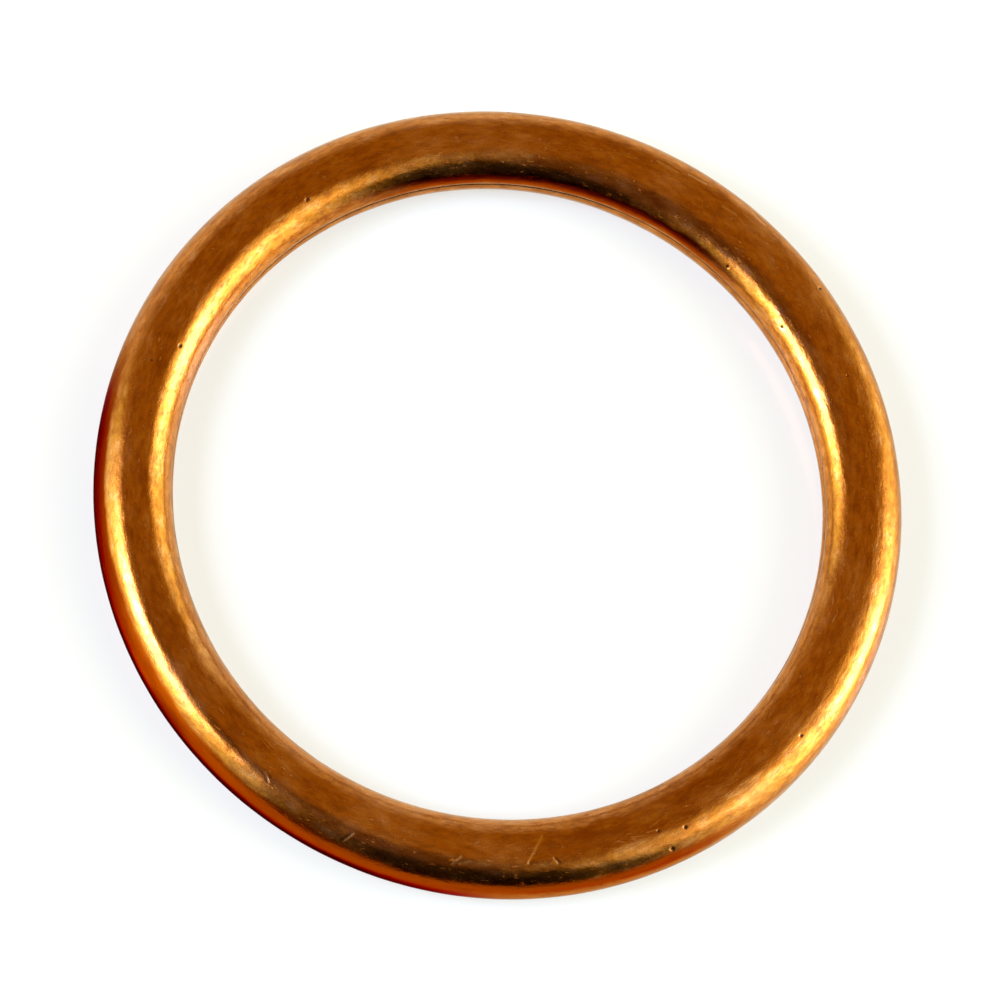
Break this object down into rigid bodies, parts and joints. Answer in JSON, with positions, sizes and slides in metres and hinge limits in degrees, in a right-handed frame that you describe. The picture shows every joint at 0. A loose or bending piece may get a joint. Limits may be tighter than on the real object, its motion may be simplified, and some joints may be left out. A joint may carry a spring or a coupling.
{
  "type": "copper crush washer",
  "caption": "Hollow sealing ring rolled from soft copper strip, with a seam on the bore side; clamped between two faces, it crushes to seal a plug, union or pipe joint.",
  "frame": {"origin": "on the ring's axis, at the plane of the lower seating land", "axes": "+Z along the ring's axis, from the lower seating land to the upper one; X and Y are free, because the ring is round"},
  "size_m": [0.038, 0.038, 0.0032],
  "materials": {
    "copper": "annealed copper, rolled and bright, with fine scratches and pits"
  },
  "bodies": {
    "root": {"crush_washer": "copper"}
  },
  "joints": []
}
